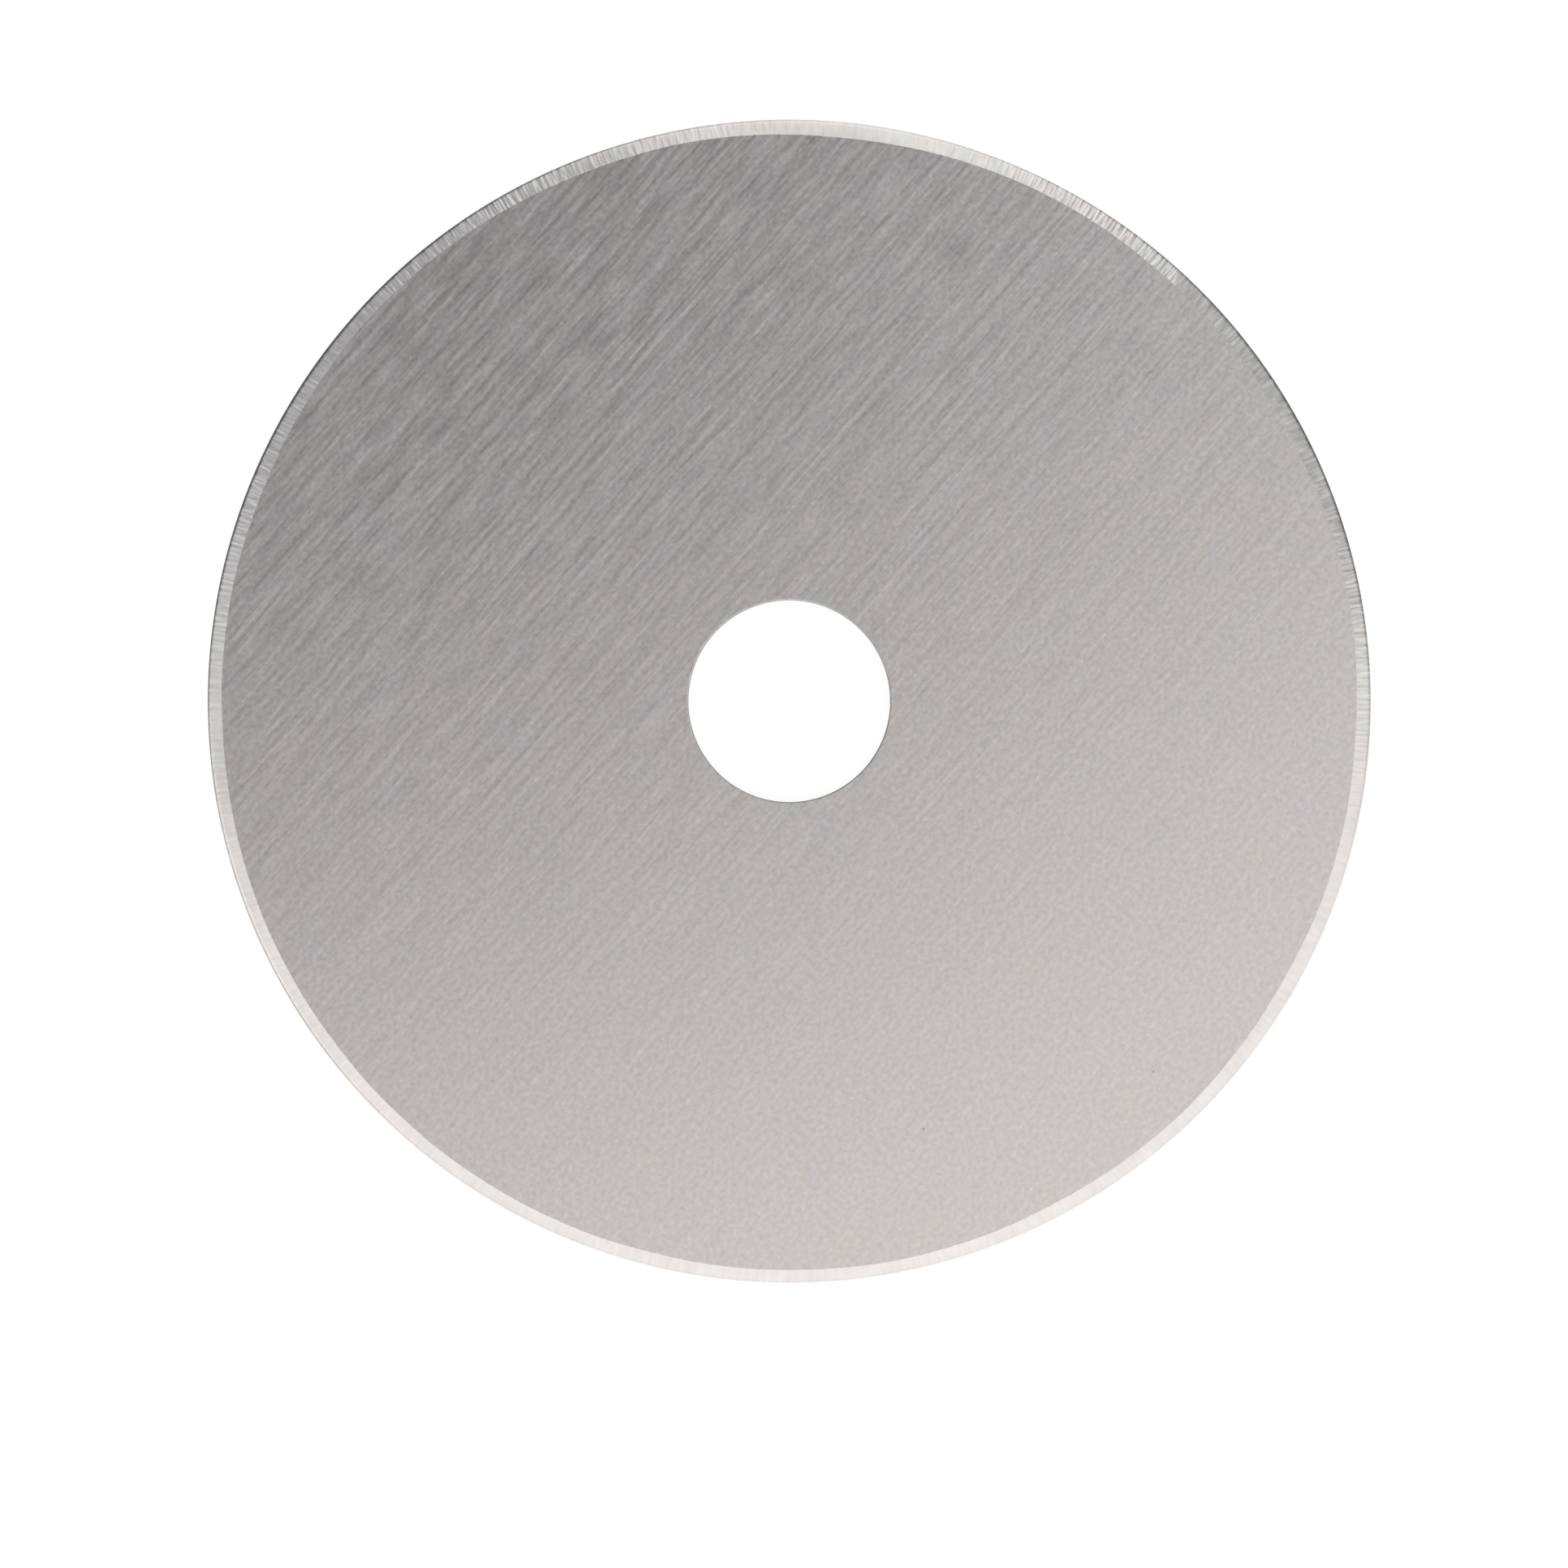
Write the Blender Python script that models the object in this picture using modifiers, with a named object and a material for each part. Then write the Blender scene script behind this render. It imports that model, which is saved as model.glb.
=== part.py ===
"""Round blade for a 60 mm rotary cutter: one disc of thin hardened steel with a round hole for the
cutter's hub. Both faces are flat. The rim is ground from both sides, first with a long main bevel and
then with a short, steeper edge bevel, and the two edge bevels meet in the cutting edge.

The blade lies flat. Its origin is the middle of the hole at the level of the underside, and +Z is the
axis that it turns on in a cutter. Lengths are in metres.
"""

from math import radians, tan

import bmesh
import bpy

MM = 0.001

BLADE_DIAMETER = 60.0 * MM
HUB_HOLE_DIAMETER = 10.4 * MM
THICKNESS = 0.3 * MM

# The ground rim, from the flat face out to the cutting edge.
MAIN_BEVEL_WIDTH = 0.59 * MM
EDGE_BEVEL_WIDTH = 0.12 * MM
EDGE_BEVEL_ANGLE = radians(16.0)

# The hole's two rims are deburred with a small chamfer.
HOLE_CHAMFER = 0.04 * MM

STEPS_AROUND = 240
SMOOTH_BELOW_ANGLE = radians(4.0)

STEEL_COLOUR = (0.52, 0.505, 0.495, 1.0)
STEEL_ROUGHNESS = 0.34


def clear_scene():
    """Removes whatever the file opened with."""
    for old in list(bpy.data.objects):
        bpy.data.objects.remove(old)


def ground_steel():
    """The bare steel of the blade."""
    material = bpy.data.materials.new("ground_steel")
    material.use_nodes = True
    shader = material.node_tree.nodes["Principled BSDF"]
    shader.inputs["Base Color"].default_value = STEEL_COLOUR
    shader.inputs["Metallic"].default_value = 1.0
    shader.inputs["Roughness"].default_value = STEEL_ROUGHNESS
    material.diffuse_color = STEEL_COLOUR
    return material


def blade_profile():
    """The closed half section as (radius, height) points: out along the upper face, down over the
    ground rim, back along the underside and up the wall of the hole."""
    rim = BLADE_DIAMETER / 2
    hole = HUB_HOLE_DIAMETER / 2
    middle = THICKNESS / 2
    shoulder = rim - EDGE_BEVEL_WIDTH
    shoulder_rise = EDGE_BEVEL_WIDTH * tan(EDGE_BEVEL_ANGLE)
    face_end = shoulder - MAIN_BEVEL_WIDTH
    upper_half = [
        (hole, THICKNESS - HOLE_CHAMFER),
        (hole + HOLE_CHAMFER, THICKNESS),
        (face_end, THICKNESS),
        (shoulder, middle + shoulder_rise),
    ]
    lower_half = [(radius, THICKNESS - height) for radius, height in reversed(upper_half)]
    return upper_half + [(rim, middle)] + lower_half


def profile_mesh(name, points):
    """A loop of edges through the points, in the XZ plane."""
    shape = bmesh.new()
    corners = [shape.verts.new((radius, 0.0, height)) for radius, height in points]
    for start, end in zip(corners, corners[1:] + corners[:1]):
        shape.edges.new((start, end))
    mesh = bpy.data.meshes.new(name)
    shape.to_mesh(mesh)
    shape.free()
    return mesh


def turned(name, points, collection):
    """The profile turned once round the Z axis, as an object with a plain mesh."""
    piece = bpy.data.objects.new(name, profile_mesh(name + "_profile", points))
    collection.objects.link(piece)
    screw = piece.modifiers.new("turn", "SCREW")
    screw.axis = "Z"
    screw.steps = STEPS_AROUND
    screw.render_steps = STEPS_AROUND
    evaluated = piece.evaluated_get(bpy.context.evaluated_depsgraph_get())
    mesh = bpy.data.meshes.new_from_object(evaluated)
    mesh.name = name
    piece.modifiers.clear()
    piece.data = mesh
    return piece


def shade_round(piece):
    """Smooth round the axis, with crisp lines where two ground faces meet."""
    piece.data.shade_smooth()
    piece.data.set_sharp_from_angle(angle=SMOOTH_BELOW_ANGLE)


def main():
    clear_scene()
    parts = bpy.data.collections.new("rotary_cutter_blade")
    bpy.context.scene.collection.children.link(parts)
    blade = turned("blade", blade_profile(), parts)
    blade.data.materials.clear()
    blade.data.materials.append(ground_steel())
    shade_round(blade)


main()
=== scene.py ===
# %% [markdown]
# A blade for a rotary cutter, 60 mm across: one thin disc of hardened steel with a hole for the
# cutter's hub. It is blanked from strip that was brushed on both sides, so straight fine lines run
# right across its two faces. Its rim is then ground from both sides against a wheel, which leaves
# two narrow bevels that meet in the cutting edge, brighter than the faces and marked across.
#
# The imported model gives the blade's real size and place. Everything here is fitted to it.

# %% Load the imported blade
from math import atan, cos, degrees, hypot, pi, radians, sin, tan

import bpy
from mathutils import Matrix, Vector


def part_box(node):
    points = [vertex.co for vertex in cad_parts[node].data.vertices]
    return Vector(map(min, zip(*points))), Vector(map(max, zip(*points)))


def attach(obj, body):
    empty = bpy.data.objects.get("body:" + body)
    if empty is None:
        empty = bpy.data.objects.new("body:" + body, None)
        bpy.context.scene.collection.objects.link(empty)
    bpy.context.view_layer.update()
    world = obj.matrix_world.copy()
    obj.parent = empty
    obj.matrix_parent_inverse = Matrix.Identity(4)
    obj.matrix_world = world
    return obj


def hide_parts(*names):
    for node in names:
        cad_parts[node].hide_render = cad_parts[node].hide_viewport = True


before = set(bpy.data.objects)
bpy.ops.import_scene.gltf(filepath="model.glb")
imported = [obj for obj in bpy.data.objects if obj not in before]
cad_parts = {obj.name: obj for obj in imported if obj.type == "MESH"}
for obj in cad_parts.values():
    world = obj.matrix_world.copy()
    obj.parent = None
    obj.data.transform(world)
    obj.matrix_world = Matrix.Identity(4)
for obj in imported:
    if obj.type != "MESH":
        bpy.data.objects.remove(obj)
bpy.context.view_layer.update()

print("packed nodes:", sorted(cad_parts))

# %% [markdown]
# The sizes come in two kinds. The diameter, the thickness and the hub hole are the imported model's,
# so they are measured on it and can't drift away from it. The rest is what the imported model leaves
# out or keeps plain, and it is written here once, in millimetres.

# %% Measure the blade
MM = 0.001

low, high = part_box("blade")
cad_points = [vertex.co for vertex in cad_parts["blade"].data.vertices]
RIM_RADIUS = high.x
HUB_RADIUS = min(hypot(point.x, point.y) for point in cad_points)
UNDERSIDE = low.z
THICKNESS = high.z - low.z
print(f"rim {RIM_RADIUS / MM:.2f} mm, hub hole {HUB_RADIUS / MM:.2f} mm, thickness {THICKNESS / MM:.3f} mm")

# %% [markdown]
# The camera comes early, because it says how large a detail has to be to show. The blade was taken
# from straight above, so its outline is a true circle. A long lens is put where that circle fills
# the frame as it should: the size of one pixel on the blade gives the frame's width, and the lens
# then gives the height. The picture's middle isn't the blade's middle, so the camera stands off
# the axis by that difference, and the lens needs no shift.

# %% Camera
IMAGE_PIXELS = 1932
BLADE_CENTRE_PIXEL = (972.39, 863.93)
BLADE_RADIUS_PIXELS = 716.4
LENS_MM = 85.0
SENSOR_MM = 36.0

pixel = RIM_RADIUS / BLADE_RADIUS_PIXELS
frame_width = IMAGE_PIXELS * pixel
camera_height = THICKNESS / 2 + frame_width * LENS_MM / SENSOR_MM
camera_x = (IMAGE_PIXELS / 2 - BLADE_CENTRE_PIXEL[0]) * pixel
camera_y = (BLADE_CENTRE_PIXEL[1] - IMAGE_PIXELS / 2) * pixel

camera = bpy.data.objects.new("camera", bpy.data.cameras.new("camera"))
camera.data.lens = LENS_MM
camera.data.sensor_width = SENSOR_MM
camera.data.clip_start = 0.001
camera.location = (camera_x, camera_y, camera_height)
bpy.context.scene.collection.objects.link(camera)
bpy.context.scene.camera = camera
print(f"one pixel is {pixel / MM:.4f} mm, the camera is {camera_height / MM:.0f} mm up")

# %% [markdown]
# Both node trees that follow, the one that makes the blade's shape and those of its finishes, are
# mostly arithmetic. Nodes are slow to read when each is made and linked by hand. A wire is one
# output of a node, and Python's operators on it add the Math nodes that they stand for. Every
# other node comes from one method, which takes its type, its settings and its sockets.

# %% Wires and boards
class Wire:
    """One output of a node, with arithmetic."""

    def __init__(self, board, socket):
        self.board = board
        self.socket = socket

    def math(self, operation, *values):
        sockets = dict(enumerate(values))
        return self.board.node("ShaderNodeMath", {"operation": operation}, sockets)

    def __add__(self, other):
        return self.math("ADD", self, other)

    def __sub__(self, other):
        return self.math("SUBTRACT", self, other)

    def __mul__(self, other):
        return self.math("MULTIPLY", self, other)

    def __truediv__(self, other):
        return self.math("DIVIDE", self, other)

    def __rsub__(self, other):
        return self.math("SUBTRACT", other, self)

    __radd__ = __add__
    __rmul__ = __mul__


class Board:
    """A node tree that is wired by expressions."""

    def __init__(self, tree):
        self.tree = tree

    def plug(self, socket, value):
        if isinstance(value, Wire):
            self.tree.links.new(value.socket, socket)
        else:
            socket.default_value = value

    def node(self, kind, settings=None, sockets=None, out=0):
        made = self.tree.nodes.new(kind)
        for name, value in (settings or {}).items():
            setattr(made, name, value)
        for name, value in (sockets or {}).items():
            self.plug(made.inputs[name], value)
        return Wire(self, made.outputs[out])

    def end(self, kind, name, wire):
        """Ends the tree in an output node."""
        self.plug(self.tree.nodes.new(kind).inputs[name], wire)

    def scaled(self, vector, factors):
        """The vector with each of its parts times a factor of its own."""
        return self.node("ShaderNodeVectorMath", {"operation": "MULTIPLY"}, {0: vector, 1: factors})

    def parts(self, vector):
        """The vector's x, y and z as three wires."""
        x = self.node("ShaderNodeSeparateXYZ", {}, {"Vector": vector})
        return [Wire(self, output) for output in x.socket.node.outputs]

    def joined(self, x, y, z):
        return self.node("ShaderNodeCombineXYZ", {}, {"X": x, "Y": y, "Z": z})

    def step(self, value, start, end):
        """0 below start and 1 above end, with a soft slope between. It falls if end is the lower."""
        sockets = {"Value": value, "From Min": start, "From Max": end}
        return self.node("ShaderNodeMapRange", {"interpolation_type": "SMOOTHSTEP"}, sockets)

    def noise(self, vector, detail=2.0, roughness=0.5):
        sockets = {"Vector": vector, "Scale": 1.0, "Detail": detail, "Roughness": roughness}
        return self.node("ShaderNodeTexNoise", {}, sockets)

    def blend(self, share, first, second):
        """The first colour where the share is 0 and the second where it is 1."""
        return self.node("ShaderNodeMix", {"data_type": "RGBA"}, {0: share, 6: first, 7: second}, out=2)


# %% [markdown]
# The blade is a turned shape, so all of it follows from its section: half of a cut through the
# middle. It is written for the upper side only, from the hub hole out to the edge, and mirrored.
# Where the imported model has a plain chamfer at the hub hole, the section has a small round, as
# tumbling leaves it.
#
# Each point of the section also says how it takes the grinding, because the wheel doesn't cut
# equally deep all the way round. Where it cuts deeper, the whole bevel sinks, and the line where
# the bevel starts slides in over the face, much further than the bevel sinks.
#
# The edge itself was honed after the grinding, and honing rounds it over a little. A single steep
# bevel there would show as a hard stripe. Two short ones of 17 and 22 degrees, shaded smooth with
# the last bit of the main bevel, turn from one tone to the next as the real edge does.

# %% The section
MAIN_BEVEL_WIDTH = 0.59 * MM
EDGE_BEVEL_WIDTH = 0.12 * MM
HONED_FROM = (0.12 * MM, 0.06 * MM)
HONED_ANGLES = (radians(17.0), radians(22.0))
SOFT_FROM = 0.19 * MM
HUB_ROUND = 0.04 * MM
HUB_ROUND_POINTS = 4
FACE_RING_RADII = (5.3 * MM, 12 * MM, 20 * MM)

FACE_END_RADIUS = RIM_RADIUS - EDGE_BEVEL_WIDTH - MAIN_BEVEL_WIDTH
LAST_RISE = HONED_FROM[1] * tan(HONED_ANGLES[1])
HONED_RISE = LAST_RISE + (HONED_FROM[0] - HONED_FROM[1]) * tan(HONED_ANGLES[0])
HONED_RADIUS = RIM_RADIUS - HONED_FROM[0]
MAIN_BEVEL_SLOPE = (THICKNESS / 2 - HONED_RISE) / (HONED_RADIUS - FACE_END_RADIUS)


def upper_section():
    """(radius, height over the middle, slide, sink, band, corner) of each point on the upper side, from
    the hub hole out. The band names the surface that follows the point."""
    top = THICKNESS / 2
    points = []
    for index in range(HUB_ROUND_POINTS):
        turn = index / HUB_ROUND_POINTS * pi / 2
        radius = HUB_RADIUS + HUB_ROUND * (1 - cos(turn))
        points.append((radius, top - HUB_ROUND * (1 - sin(turn)), 0, 0, "hub", 0))
    points.append((HUB_RADIUS + HUB_ROUND, top, 0, 0, "face", 0))
    for radius in FACE_RING_RADII:
        points.append((radius, top, 0, 0, "face", 0))
    points.append((FACE_END_RADIUS, top, 1, 0, "main bevel", 1))
    soft_rise = HONED_RISE + (SOFT_FROM - HONED_FROM[0]) * MAIN_BEVEL_SLOPE
    points.append((RIM_RADIUS - SOFT_FROM, soft_rise, 0, 1, "main bevel", 0))
    points.append((HONED_RADIUS, HONED_RISE, 0, 1, "edge bevel", 0))
    points.append((RIM_RADIUS - HONED_FROM[1], LAST_RISE, 0, 1, "edge bevel", 0))
    return points


BANDS = ("hub", "face", "main bevel", "edge bevel")
upper = upper_section()
print(f"{len(upper)} points a side, main bevel {degrees(atan(MAIN_BEVEL_SLOPE)):.1f} degrees")

# %% [markdown]
# Geometry Nodes read the section as a loose row of points with named attributes. The lower side is
# the upper one backwards. A band there has to follow its point in the row as well, so each lower
# point takes the band of the upper point before its own.

# %% The section as a mesh of points
MIDDLE = UNDERSIDE + THICKNESS / 2


def section_rows():
    """The closed section as rows of x, z, side, slide, sink, band number and corner."""
    rows = []
    for radius, height, slide, sink, band, corner in upper:
        rows.append((radius, MIDDLE + height, 1, slide, sink, BANDS.index(band), corner))
    rows.append((RIM_RADIUS, MIDDLE, 0, 0, 0, BANDS.index("edge bevel"), 1))
    bands_before = ["hub"] + [point[4] for point in upper[:-1]]
    for point, band in zip(reversed(upper), reversed(bands_before)):
        radius, height, slide, sink, _, corner = point
        rows.append((radius, MIDDLE - height, -1, slide, sink, BANDS.index(band), corner))
    return rows


def section_object():
    rows = section_rows()
    mesh = bpy.data.meshes.new("section")
    mesh.from_pydata([(row[0], 0, row[1]) for row in rows], [], [])
    for column, name in enumerate(("side", "slide", "sink", "band", "corner"), start=2):
        attribute = mesh.attributes.new(name, "FLOAT", "POINT")
        attribute.data.foreach_set("value", [float(row[column]) for row in rows])
    made = bpy.data.objects.new("blade_section", mesh)
    bpy.context.scene.collection.objects.link(made)
    return made


blade = section_object()
print(f"closed section of {len(blade.data.vertices)} points")

# %% [markdown]
# The tree turns the section. It starts from a flat grid with a column for each step round the axis
# and a row for each point of the section, and moves every point of the grid to its place. A Screw
# modifier would turn the section too, but all its steps would be alike. Here each step asks a
# noise how deep the wheel cut there, so the marks of the grinding are real grooves.
#
# The bevel isn't equally wide all round either. The blade sat a hair off its axis on the grinding
# spindle, so the bevel is wider on one side: that is the lean. It also wanders slowly in and out,
# and close by, the line where it starts is frayed.

# %% The sizes of the turning tree
STEPS_AROUND = 2880
SEAM_GAP = 0.0001 * MM
NOISE_SEED = 37.0
TURNING_SIZES = {
    "Steps around": STEPS_AROUND,
    "Rim radius": RIM_RADIUS,
    "Bevel slope": MAIN_BEVEL_SLOPE,
    "Groove depth": 0.003 * MM,
    "Groove width": 0.22 * MM,
    "Wander": 0.24 * MM,
    "Wander width": 9 * MM,
    "Fray": 0.05 * MM,
    "Fray width": 0.25 * MM,
    "Lean": 0.055 * MM,
    "Lean direction": radians(97),
    "Seed": NOISE_SEED,
}


def new_tree(name, sizes):
    """A Geometry Nodes tree with one input for each size, their identifiers, and the input wires."""
    tree = bpy.data.node_groups.new(name, "GeometryNodeTree")
    tree.interface.new_socket("Section", in_out="INPUT", socket_type="NodeSocketGeometry")
    identifiers = {}
    for size, value in sizes.items():
        kind = "NodeSocketInt" if isinstance(value, int) else "NodeSocketFloat"
        identifiers[size] = tree.interface.new_socket(size, in_out="INPUT", socket_type=kind).identifier
    tree.interface.new_socket("Blade", in_out="OUTPUT", socket_type="NodeSocketGeometry")
    board = Board(tree)
    given = tree.nodes.new("NodeGroupInput")
    wires = {size: Wire(board, given.outputs[size]) for size in ["Section", *sizes]}
    return tree, identifiers, wires


# %% [markdown]
# The grid's rows are numbered before it is bent, and the number is stored on its points. From then
# on a point of the grid finds its point of the section by that number, and reads everything that it
# needs there with Sample Index. One row more than the section has points closes the loop.

# %% Read the section
def named(board, name):
    return board.node("GeometryNodeInputNamedAttribute", {"data_type": "FLOAT"}, {"Name": name})


def numbered_grid(board, wires, points):
    """A flat grid with the numbers of its rows, and the angle of each of its columns."""
    grid = board.node("GeometryNodeMeshGrid", {}, {
        "Size X": 1.0,
        "Size Y": 1.0,
        "Vertices X": wires["Steps around"] + 1,
        "Vertices Y": points + 1,
    })
    across, along, _ = board.parts(board.node("GeometryNodeInputPosition"))
    settings = {"data_type": "FLOAT", "domain": "POINT"}
    sockets = {"Geometry": grid, "Name": "row", "Value": (along + 0.5) * points}
    return board.node("GeometryNodeStoreNamedAttribute", settings, sockets), (across + 0.5) * (2 * pi)


def section_reader(board, wires, points):
    """A function that reads a value of the section at the point with a number."""
    def read(value, number, kind="FLOAT"):
        settings = {"data_type": kind, "domain": "POINT"}
        index = number.math("MODULO", number, points)
        sockets = {"Geometry": wires["Section"], "Value": value, "Index": index}
        return board.node("GeometryNodeSampleIndex", settings, sockets)
    return read


# %% [markdown]
# The noise is read on a circle, at the direction that a step faces, so that it closes on itself
# after a full turn. The two sides of the blade get different noise, because they read it at
# different heights over that circle. A wave of the noise is as long as a width in millimetres says,
# so the widths of grooves, fraying and wandering can be set against what a rule would measure.

# %% Grind the rim
def grinding(board, wires, angle, side):
    """How deep the wheel cut at an angle, and how far the start of its bevel strays there."""
    facing = board.joined(angle.math("COSINE", angle), angle.math("SINE", angle), side * wires["Seed"])

    def round_noise(width, detail):
        """Noise round the rim with one wave in each width."""
        waves = wires["Rim radius"] / width
        return board.noise(board.scaled(facing, board.joined(waves, waves, 1.0)), detail)

    cut = round_noise(wires["Groove width"], 2.0) * wires["Groove depth"]
    stray = (round_noise(wires["Wander width"], 1.0) - 0.5) * wires["Wander"]
    stray = (round_noise(wires["Fray width"], 2.0) - 0.5) * wires["Fray"] + stray
    away = angle - wires["Lean direction"]
    return cut, away.math("COSINE", away) * wires["Lean"] + stray


# %% [markdown]
# Now the tree itself. Every point of the grid looks up its radius and height, gives way to the
# grinding by as much as its slide and sink say, and goes to its angle. Then the mesh is told what
# it is made of: each face gets the band of its row, and each edge between two bands that meet in a
# real corner is marked sharp. The grid's first and last column lie on each other by now, and so do
# its first and last row, so merging by distance closes the ring.

# %% The turning tree
def turning_tree(finishes):
    """The tree that makes the blade, and its inputs' identifiers. The finishes are in the bands' order."""
    tree, identifiers, wires = new_tree("turned_and_ground", TURNING_SIZES)
    board = wires["Section"].board
    points = board.node("GeometryNodeAttributeDomainSize", {"component": "MESH"}, {0: wires["Section"]})
    shape, angle = numbered_grid(board, wires, points)
    read = section_reader(board, wires, points)
    row = named(board, "row")
    own_row = row.math("ROUND", row)

    position = board.node("GeometryNodeInputPosition")
    radius, _, height = board.parts(read(position, own_row, "FLOAT_VECTOR"))
    side = read(named(board, "side"), own_row)
    slide = read(named(board, "slide"), own_row)
    sink = read(named(board, "sink"), own_row)
    cut, stray = grinding(board, wires, angle, side)
    ground_radius = radius - slide * (cut / wires["Bevel slope"] + stray)
    turned_x = ground_radius * angle.math("COSINE", angle)
    turned_y = ground_radius * angle.math("SINE", angle)
    turned = board.joined(turned_x, turned_y, height - side * sink * cut)
    shape = board.node("GeometryNodeSetPosition", {}, {"Geometry": shape, "Position": turned})

    band = read(named(board, "band"), row.math("FLOOR", row))
    shape = board.node("GeometryNodeStoreNamedAttribute", {"data_type": "FLOAT", "domain": "FACE"},
                       {"Geometry": shape, "Name": "band", "Value": band})
    on_a_row = board.node("FunctionNodeCompare", {"operation": "EQUAL"},
                          {0: row, 1: own_row, "Epsilon": 0.25})
    sharp = read(named(board, "corner"), own_row) * on_a_row
    shape = board.node("GeometryNodeStoreNamedAttribute", {"data_type": "BOOLEAN", "domain": "EDGE"},
                       {"Geometry": shape, "Name": "sharp_edge", "Value": sharp})
    shape = board.node("GeometryNodeMergeByDistance", {}, {"Geometry": shape, "Distance": SEAM_GAP})
    shape = board.node("GeometryNodeFlipFaces", {}, {"Mesh": shape})
    shape = board.node("GeometryNodeRealizeInstances", {}, {"Geometry": shape})
    for number, finish in enumerate(finishes):
        chosen = board.node("FunctionNodeCompare", {"operation": "EQUAL"},
                            {0: named(board, "band"), 1: float(number), "Epsilon": 0.5})
        sockets = {"Geometry": shape, "Selection": chosen, "Material": finish}
        shape = board.node("GeometryNodeSetMaterial", {}, sockets)
    board.end("NodeGroupOutput", "Blade", shape)
    return tree, identifiers


# %% [markdown]
# Now the finishes. Steel has no colour of its own to speak of: what is seen of it is the room, more
# or less blurred. So a finish of steel is mostly how rough it is, and which way its marks run. The
# four surfaces were each worked in another way, and each gets its own finish.
#
# All of them read Object coordinates, which here are metres from the middle of the hole. The blade
# was ground alike from both sides. So that the underside isn't a copy of the upper side seen through
# the steel, patterns are mirrored there, and noises are read far away.

# %% What the finishes share
SIDE_SHIFT = 40.0 / THICKNESS


def new_finish(name):
    """A new material, the board of its tree and the inputs of its shader."""
    made = bpy.data.materials.new(name)
    made.use_nodes = True
    return made, Board(made.node_tree), made.node_tree.nodes["Principled BSDF"].inputs


def object_place(board):
    return board.node("ShaderNodeTexCoord", out="Object")


def bumped(board, height, distance):
    """A normal bent by the height, which is 1 for each distance."""
    return board.node("ShaderNodeBump", {}, {"Height": height, "Distance": distance})


def grey(level, warmth=0.0):
    """A steel colour. Warmth moves it from blue towards red."""
    return (level * (1 + warmth), level, level * (1 - warmth), 1.0)


# %% [markdown]
# The faces still have the finish of the strip that the blade was blanked from. A belt brushed it in
# one direction, so its scratches are straight and parallel and run right over the blade, whatever
# its outline. An anisotropic shader alone would give the sheen without a single scratch. Here noise
# is stretched along the grain instead, at several sizes: hair lines, longer scratches that are wider
# and fainter, a few stray ones that stand out, the fine grit between them, and soft clouds where the
# steel has a slightly different tint. The marks are painted strongest at the upper left and weakest
# at the lower right. That is painted light: scratches stand out most where the steel mirrors a dark
# part of the room. The same mask also makes them rougher and more bumped there.
#
# A scratch shows in three ways. It is paler than the steel between, it leans the surface, which a
# Bump node does, and it scatters what it reflects, so it is rougher. The grit only changes the
# colour. Last come a few bright specks, where the belt tore out a grain, and two dark pits. All of
# them add up to a share, which is 0 for the darkest steel of the face and 1 for the palest.

# %% The brushed faces
GRAIN_ANGLE = radians(48.8)
HAIR_LINE = (2.2 * MM, 0.25 * MM)
SCRATCH = (9.0 * MM, 0.45 * MM)
STRAY_SCRATCH = (8.0 * MM, 0.26 * MM)
GRIT = (0.28 * MM, 0.24 * MM)
CLOUD = (3.0 * MM, 1.2 * MM)
SPECK = (0.20 * MM, 0.14 * MM)
PITS = ((18.78 * MM, -19.10 * MM), (6.93 * MM, -22.06 * MM))
PIT_RADIUS = 0.09 * MM
HAIR_LINE_WEIGHT = 0.5
SCRATCH_WEIGHT = 0.3
STRAY_WEIGHT = 0.15
STRAY_RANGE = (0.36, 0.56)
SPECK_RANGE = (0.50, 0.62)
CUT_SHARE = 0.27
GRIT_SHARE = 0.155
SPECK_SHARE = 0.2
FACE_STEEL = 0.62
FACE_WARMTH = 0.006
FACE_CONTRAST = 0.34
FACE_ROUGHNESS = 0.32
ROUGHNESS_SWING = 0.08
LEAST_ROUGHNESS = 0.285
FACE_BUMP = 0.0028 * MM
TINTS = ((1.004, 1.007, 0.970, 1.0), (0.996, 0.993, 1.030, 1.0))
PAINTED_CONTRAST_ALONG = 0.28
PAINTED_CONTRAST_ACROSS = 0.62


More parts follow.
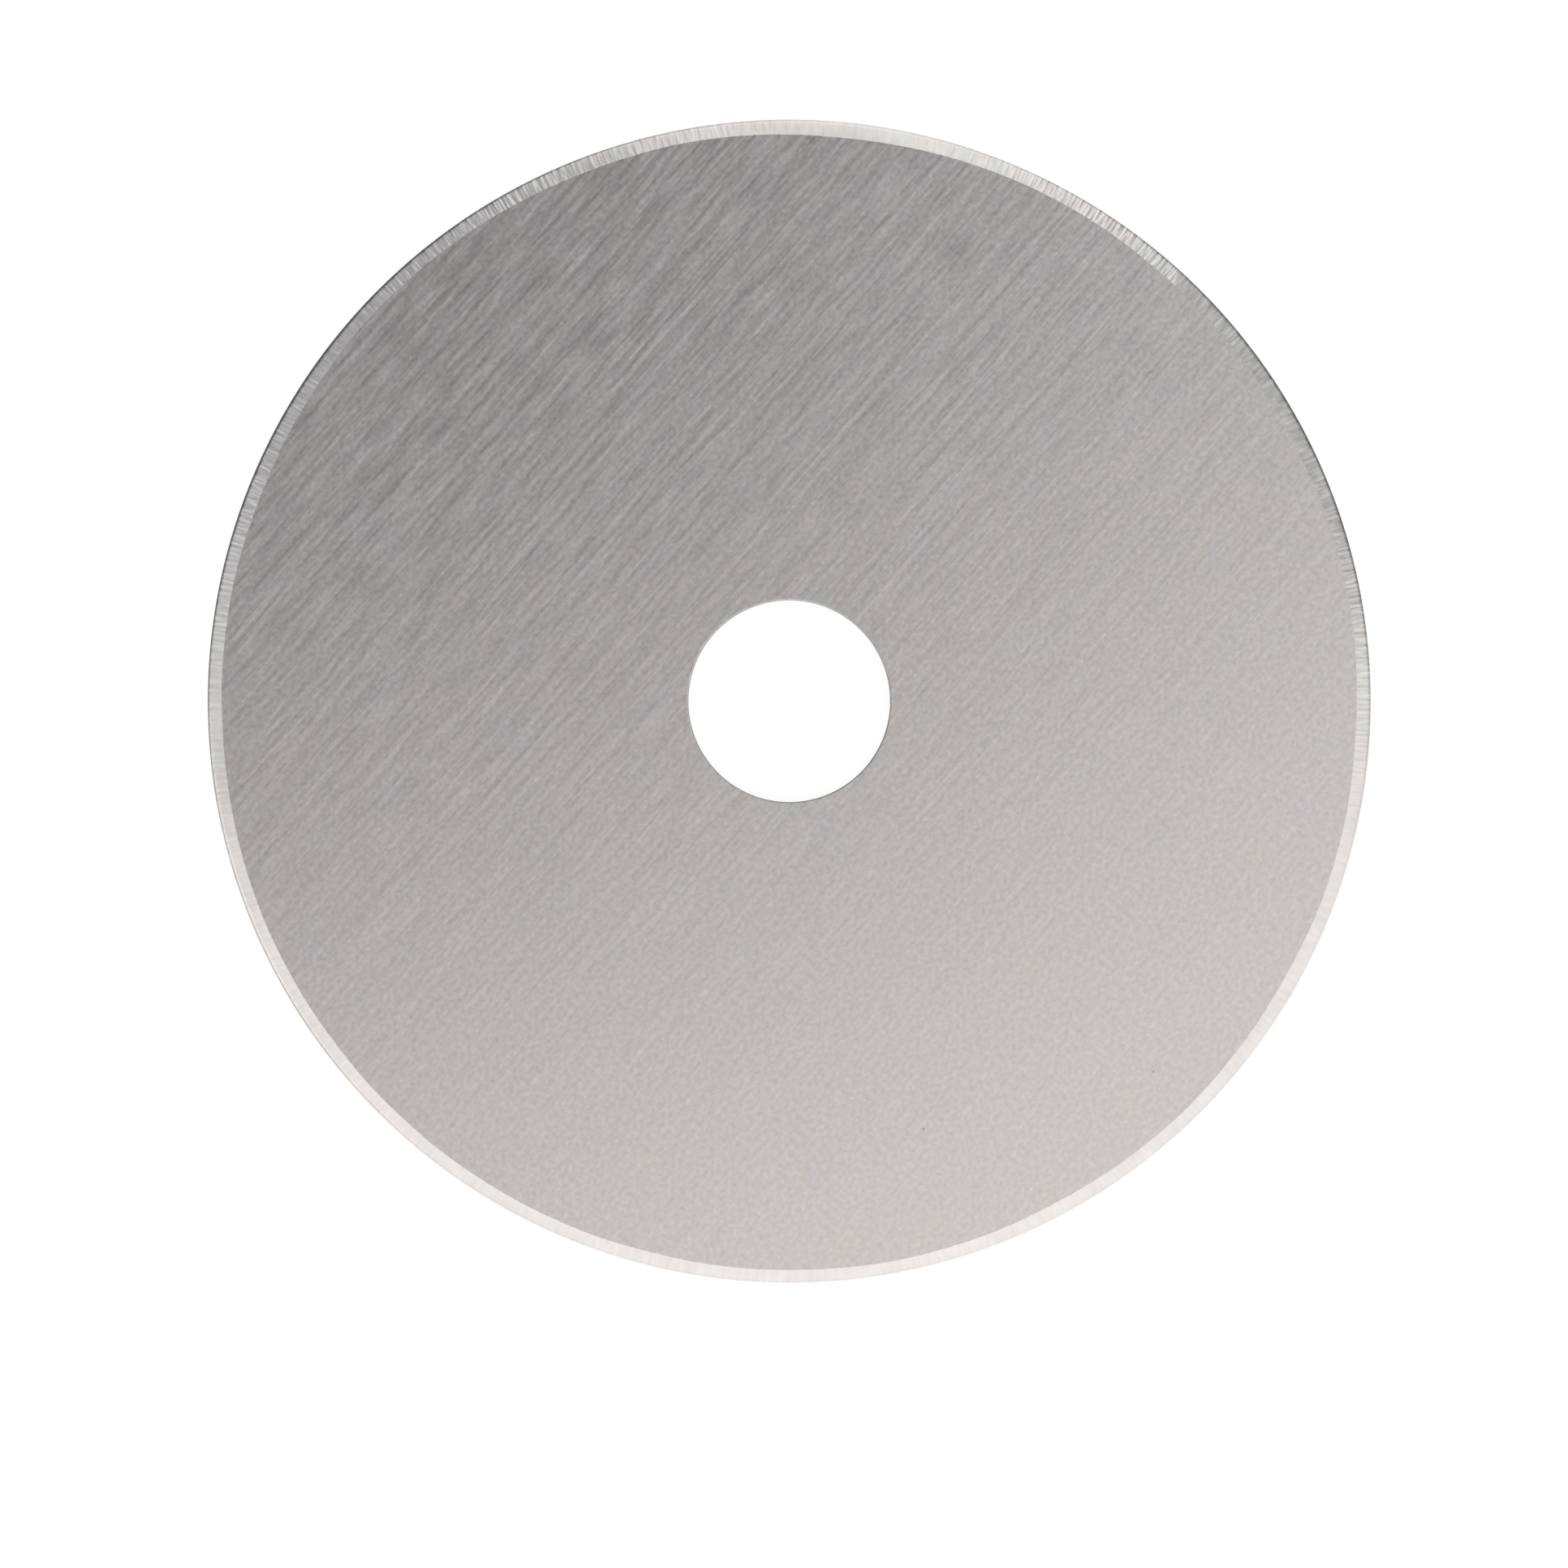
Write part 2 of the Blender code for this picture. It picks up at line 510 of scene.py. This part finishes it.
def brushed_face():
    made, board, steel = new_finish("brushed_face")
    place = object_place(board)
    rotation = (0.0, 0.0, -GRAIN_ANGLE)
    turned = board.node("ShaderNodeMapping", {}, {"Vector": place, "Rotation": rotation})

    def marks(size, detail):
        """Noise stretched along the grain, from about -1 to 1."""
        length, width = size
        stretched = board.scaled(turned, (1 / length, 1 / width, SIDE_SHIFT))
        return (board.noise(stretched, detail) - 0.5) * 2

    along, across, _ = board.parts(turned)
    # Painted light: the scratches' contrast rises towards the upper left, where the steel mirrors a darker
    # room.
    painted_scratch_contrast = (along * PAINTED_CONTRAST_ALONG + across * PAINTED_CONTRAST_ACROSS) / RIM_RADIUS + 1.0
    stray = board.step(marks(STRAY_SCRATCH, 0.0), *STRAY_RANGE) * STRAY_WEIGHT
    cut = marks(HAIR_LINE, 1.0) * HAIR_LINE_WEIGHT + marks(SCRATCH, 1.0) * SCRATCH_WEIGHT + stray
    cut = cut * painted_scratch_contrast
    grit = marks(GRIT, 1.0) * (painted_scratch_contrast + 1.0)
    clouds = marks(CLOUD, 1.0)
    specks = board.step(marks(SPECK, 0.0), *SPECK_RANGE)
    pits = 0.0
    for x, y in PITS:
        sockets = {0: place, 1: (x, y, high.z)}
        away = board.node("ShaderNodeVectorMath", {"operation": "DISTANCE"}, sockets, out="Value")
        pits = board.step(away, PIT_RADIUS, 0.0) + pits
    share = cut * CUT_SHARE + grit * GRIT_SHARE + specks * SPECK_SHARE - pits + 0.5
    dark = grey(FACE_STEEL * (1 - FACE_CONTRAST), FACE_WARMTH)
    pale = grey(FACE_STEEL * (1 + FACE_CONTRAST), FACE_WARMTH)
    tint = board.blend(clouds + 0.5, *TINTS)
    colour = board.scaled(board.blend(share, dark, pale), tint)
    scattered = cut * ROUGHNESS_SWING + FACE_ROUGHNESS
    steel["Metallic"].default_value = 1.0
    board.plug(steel["Base Color"], colour)
    board.plug(steel["Roughness"], scattered.math("MAXIMUM", scattered, LEAST_ROUGHNESS))
    board.plug(steel["Normal"], bumped(board, cut, FACE_BUMP))
    return made


# %% [markdown]
# The bevels were ground against a wheel while the blade turned, so their marks run straight out from
# the axis. Noise that is read at the direction of a point, and hardly at its distance, is the same
# nearly all the way out, which is what such marks are. The edge was honed with a finer wheel and is
# darker mostly because it is steeper and faces another part of the room.
#
# The grinding is uneven. In two sectors the marks are coarse, with small dark snags where the steel
# tore at the edge, and elsewhere they are so fine that the bevel looks smooth. For an eighth of a
# turn the bevel is rougher and painted darker, nearly as dark as the face, which fades in slowly and
# ends abruptly. The darkening there is painted shade, for a dark part of the room that the bevel
# mirrors. Two bright nicks run across the smooth part.
#
# Grinding marks draw a highlight out along a line across them. That is what Anisotropic does, and
# its direction, left alone, is round the object's own axis, which is right for this blade.

# %% The ground bevels
BEVEL_LINE = 0.26 * MM
BEVEL_FINE_LINE = 0.16 * MM
BEVEL_PATCH = 3.0 * MM
SNAG = 0.35 * MM
SNAG_RANGE = (0.10, 0.45)
MARK_LENGTH = 0.9 * MM
# A sector of the bevel that is rougher and painted darker: its darkening is painted shade.
DULL_AND_SHADED_SECTOR = (2.0, 27.0, 46.9, 47.3)
DULL_AND_SHADED_SLANT = 0.66
PAINTED_SHADE_SHARE = 0.31
DULL_ROUGHNESS = 0.06
COARSE = ((-15.0, 25.0, 52.0, 85.0), (88.0, 128.0, 150.0, 180.0))
SECOND_COARSENESS = 0.85
NICKS = ((radians(97.1), 0.34), (radians(105.3), 0.22))
NICK_WIDTH = 0.07 * MM
NICK_SLANT = 0.2
BEVEL_WARMTH = 0.006
BEVEL_CONTRAST = 0.4
COARSE_LINE_SHARE = 0.28
SMOOTH_LINE_SHARE = 0.14
PATCH_SHARE = 0.1
SNAG_SHARE = 0.25
SMOOTH_BUMP = 0.3


def sector(board, angle, degrees_round):
    """1 in a sector of the rim that rises and falls softly between four directions, in degrees."""
    rise_from, rise_to, fall_from, fall_to = (radians(direction) for direction in degrees_round)
    return board.step(angle, rise_from, rise_to) * board.step(angle, fall_to, fall_from)


def ground(name, level, bump):
    made, board, steel = new_finish(name)
    x, y, z = board.parts(object_place(board))
    side = z.math("SIGN", z - MIDDLE)
    flat = board.joined(x, y * side, 0.0)
    radius = board.node("ShaderNodeVectorMath", {"operation": "LENGTH"}, {0: flat}, out="Value")
    outward = board.node("ShaderNodeVectorMath", {"operation": "NORMALIZE"}, {0: flat})
    outward_x, outward_y, _ = board.parts(outward)

    def marks(width, detail):
        """Noise that is the same all the way out from the axis, from about -1 to 1."""
        turns = RIM_RADIUS / width
        spot = board.joined(outward_x * turns, outward_y * turns, side * NOISE_SEED + radius / MARK_LENGTH)
        return (board.noise(spot, detail) - 0.5) * 2

    lines = marks(BEVEL_LINE, 1.0) * 0.6 + marks(BEVEL_FINE_LINE, 0.0) * 0.4
    patches = marks(BEVEL_PATCH, 1.0)
    angle = y.math("ARCTAN2", y * side, x)
    outward_turn = (radius - FACE_END_RADIUS) / RIM_RADIUS
    start = angle - outward_turn * DULL_AND_SHADED_SLANT
    # Painted shade, with real roughness: the bevel is darker in this sector, where it mirrors a dark part
    # of the room.
    dull_and_shaded = sector(board, start, DULL_AND_SHADED_SECTOR)
    coarse = sector(board, angle, COARSE[0]) + sector(board, angle, COARSE[1]) * SECOND_COARSENESS
    nicks = 0.0
    for nick_angle, strength in NICKS:
        away = angle - outward_turn * NICK_SLANT - nick_angle
        nicks = board.step(away.math("ABSOLUTE", away), NICK_WIDTH / RIM_RADIUS, 0.0) * strength + nicks
    snags = board.step(marks(SNAG, 1.0), *SNAG_RANGE) * board.step(radius, FACE_END_RADIUS, RIM_RADIUS)
    steel["Metallic"].default_value = 1.0
    steel["Anisotropic"].default_value = 0.6
    share = lines * (coarse * COARSE_LINE_SHARE + SMOOTH_LINE_SHARE) + patches * PATCH_SHARE
    # Here the sector's darkening is painted shade.
    share = share - snags * coarse * SNAG_SHARE - dull_and_shaded * PAINTED_SHADE_SHARE + nicks + 0.5
    dark = grey(level * (1 - BEVEL_CONTRAST), BEVEL_WARMTH)
    pale = grey(level * (1 + BEVEL_CONTRAST), BEVEL_WARMTH)
    board.plug(steel["Base Color"], board.blend(share, dark, pale))
    board.plug(steel["Roughness"], dull_and_shaded * DULL_ROUGHNESS + LEAST_ROUGHNESS)
    depth = lines * (coarse * (1 - SMOOTH_BUMP) + SMOOTH_BUMP)
    board.plug(steel["Normal"], bumped(board, depth, bump))
    return made


# %% [markdown]
# The hub hole was punched. A punch first shears the strip, which leaves a smooth band, and then the
# rest of the thickness tears, which leaves a dull and slightly darker band. Both are scored down the
# wall by the punch. At 0.3 mm this shows only from close by, but it is what tells a punched hole
# from a drilled one.

# %% The punched hole
SCORE_WIDTH = 0.06 * MM
SCORE_DEPTH = 0.002 * MM
SCORE_SHARE = 0.3
SCORE_ROUGHNESS = 0.06
SHEARED_DEPTH = 0.4
SHEARED_STEEL = 0.58
SHEARED_ROUGHNESS = 0.32
TORN_STEEL = 0.28
TORN_SHARE = 0.35
TORN_ROUGHNESS = 0.22
TEAR_RAGGEDNESS = 0.08
TEAR_BORDER = 0.05


def punched_hole():
    made, board, steel = new_finish("punched_hole")
    x, y, z = board.parts(object_place(board))
    turns = 1 / SCORE_WIDTH
    scores = (board.noise(board.joined(x * turns, y * turns, z * (0.1 * turns)), 2.0) - 0.5) * 2
    depth = (high.z - z) / THICKNESS + scores * TEAR_RAGGEDNESS
    torn = board.step(depth, SHEARED_DEPTH - TEAR_BORDER, SHEARED_DEPTH + TEAR_BORDER)
    steel["Metallic"].default_value = 1.0
    share = scores * SCORE_SHARE - torn * TORN_SHARE + 0.65
    board.plug(steel["Base Color"], board.blend(share, grey(TORN_STEEL), grey(SHEARED_STEEL)))
    board.plug(steel["Roughness"], torn * TORN_ROUGHNESS + scores * SCORE_ROUGHNESS + SHEARED_ROUGHNESS)
    board.plug(steel["Normal"], bumped(board, scores + torn * scores, SCORE_DEPTH))
    return made


# %% [markdown]
# Now the tree can be run. The section is an object of loose points, and a Geometry Nodes modifier on
# it gives the blade. A modifier's inputs go by identifiers that Blender made up, so they are looked
# up by name in what the tree's function returns. The result is then kept as a plain mesh, because
# everything after this expects one.

# %% Turn the blade
def plain_mesh(made, name):
    """Replaces the object's modifiers by the mesh that they give."""
    evaluated = made.evaluated_get(bpy.context.evaluated_depsgraph_get())
    mesh = bpy.data.meshes.new_from_object(evaluated)
    mesh.name = name
    made.modifiers.clear()
    made.data = mesh
    made.name = name


finishes = [
    punched_hole(),
    brushed_face(),
    ground("ground_bevel", level=0.744, bump=0.020 * MM),
    ground("honed_edge", level=0.723, bump=0.014 * MM),
]
tree, identifiers = turning_tree(finishes)
turning = blade.modifiers.new("turned_and_ground", "NODES")
turning.node_group = tree
for name, value in TURNING_SIZES.items():
    turning[identifiers[name]] = value
plain_mesh(blade, "ground_blade")
blade.data.materials.pop(index=0)
blade.data.shade_smooth()
print(f"{len(blade.data.vertices)} points and {len(blade.data.polygons)} faces,",
      "finishes", [finish.name for finish in blade.data.materials])

# %% [markdown]
# The floor is white and flat, and it stays white in the picture whatever the light does, so it glows
# a little. It glows only for rays from the camera, from a mirror or through glass, so it lights
# nothing. The rest of its white is plain diffuse, and that part still goes dark under the blade.

# %% Floor
FLOOR_HALF_SIZE = 1.0
FLOOR_GAP = 0.02 * MM
FLOOR_WHITE = 0.12
FLOOR_GLOW = 0.92


def seen_ray(board):
    """1 for the rays that show a thing to the camera, also in a mirror or through glass."""
    seen = 0.0
    for kind in ("Is Camera Ray", "Is Glossy Ray", "Is Transmission Ray"):
        ray = board.node("ShaderNodeLightPath", out=kind)
        seen = ray.math("MAXIMUM", ray, seen)
    return seen


def white_floor():
    made = bpy.data.materials.new("white_floor")
    made.use_nodes = True
    made.node_tree.nodes.clear()
    board = Board(made.node_tree)
    white = board.node("ShaderNodeBsdfDiffuse", {}, {"Color": grey(FLOOR_WHITE)})
    glow = board.node("ShaderNodeEmission", {}, {"Strength": seen_ray(board) * FLOOR_GLOW})
    both = board.node("ShaderNodeAddShader", {}, {0: white, 1: glow})
    board.end("ShaderNodeOutputMaterial", "Surface", both)
    return made


floor_mesh = bpy.data.meshes.new("floor")
near, far = -FLOOR_HALF_SIZE, FLOOR_HALF_SIZE
top = UNDERSIDE - FLOOR_GAP
floor_mesh.from_pydata([(near, near, top), (far, near, top), (far, far, top), (near, far, top)],
                       [], [(0, 1, 2, 3)])
floor_mesh.materials.append(white_floor())
floor = bpy.data.objects.new("floor", floor_mesh)
bpy.context.scene.collection.objects.link(floor)
print(f"floor {FLOOR_GAP / MM} mm under the blade")

# %% [markdown]
# The light is all in the world. A flat piece of steel under a camera reflects a patch of ceiling
# that is only as wide as the camera sees it, and a bevel reflects a ring around that patch. So what
# stands where on the ceiling decides everything, and lamps with shadows would only add noise.
#
# The room is painted on the dome in layers, each over the last. It starts as a dark ceiling. On it
# hang a grey one over the blade, a large softbox and three small ones, and two dark flags that keep
# light off the left and the upper left. The walls come last, in a middle tone, and only low views
# see them. A layer is a disc around an axis, given as a compass direction and a tilt from straight up.

# %% Studio
CEILING = (0.090, 0.090, 0.090, 1.0)

# name: (direction, tilt, radius and half the soft border, in degrees), colour
DOME_LAYERS = {
    "grey ceiling": ((168.2, 5.3, 28.9, 3), (0.742, 0.735, 0.772, 1)),
    "main softbox": ((289.4, 50.0, 52.9, 3), (1.188, 1.138, 1.104, 1)),
    "upper softbox": ((81.5, 37.9, 18.2, 3.8), (1.350, 1.300, 1.280, 1)),
    "left softbox": ((195.2, 37.7, 8.1, 8.1), (1.640, 1.560, 1.500, 1)),
    "right softbox": ((5.8, 26.8, 7.8, 7.8), (1.075, 1.066, 1.052, 1)),
    "left flag": ((200.2, 23.0, 6.8, 3), (0.340, 0.340, 0.340, 1)),
    "upper flag": ((122.4, 14.2, 15.0, 3.1), (0.125, 0.122, 0.129, 1)),
    "walls": ((0, 180, 112, 7), (0.500, 0.490, 0.480, 1)),
}


def dome_axis(direction, tilt):
    direction, tilt = radians(direction), radians(tilt)
    return (sin(tilt) * cos(direction), sin(tilt) * sin(direction), cos(tilt))


def painted_dome(board):
    """The colour of the room in each direction."""
    looking = board.node("ShaderNodeTexCoord", out="Generated")
    colour = CEILING
    for (direction, tilt, radius, soft), paint in DOME_LAYERS.values():
        sockets = {0: looking, 1: dome_axis(direction, tilt)}
        towards = board.node("ShaderNodeVectorMath", {"operation": "DOT_PRODUCT"}, sockets, out="Value")
        outside = cos(radians(radius + soft))
        inside = cos(radians(radius - soft))
        colour = board.blend(board.step(towards, outside, inside), colour, paint)
    return colour


world = bpy.data.worlds.new("studio")
world.use_nodes = True
world.node_tree.nodes.clear()
bpy.context.scene.world = world
board = Board(world.node_tree)
dome = board.node("ShaderNodeBackground", {}, {"Color": painted_dome(board)})
backdrop = board.node("ShaderNodeBackground", {}, {"Color": (1.0, 1.0, 1.0, 1.0)})
to_camera = board.node("ShaderNodeLightPath", out="Is Camera Ray")
both = board.node("ShaderNodeMixShader", {}, {0: to_camera, 1: dome, 2: backdrop})
board.end("ShaderNodeOutputWorld", "Surface", both)
print("dome painted with", ", ".join(DOME_LAYERS))

# %% [markdown]
# Last, the blade is handed over. It rides on the part's only body and stands in for the imported node,
# which is hidden.

# %% Hand over
bpy.context.scene.view_settings.view_transform = "Standard"
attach(blade, "root")
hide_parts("blade")
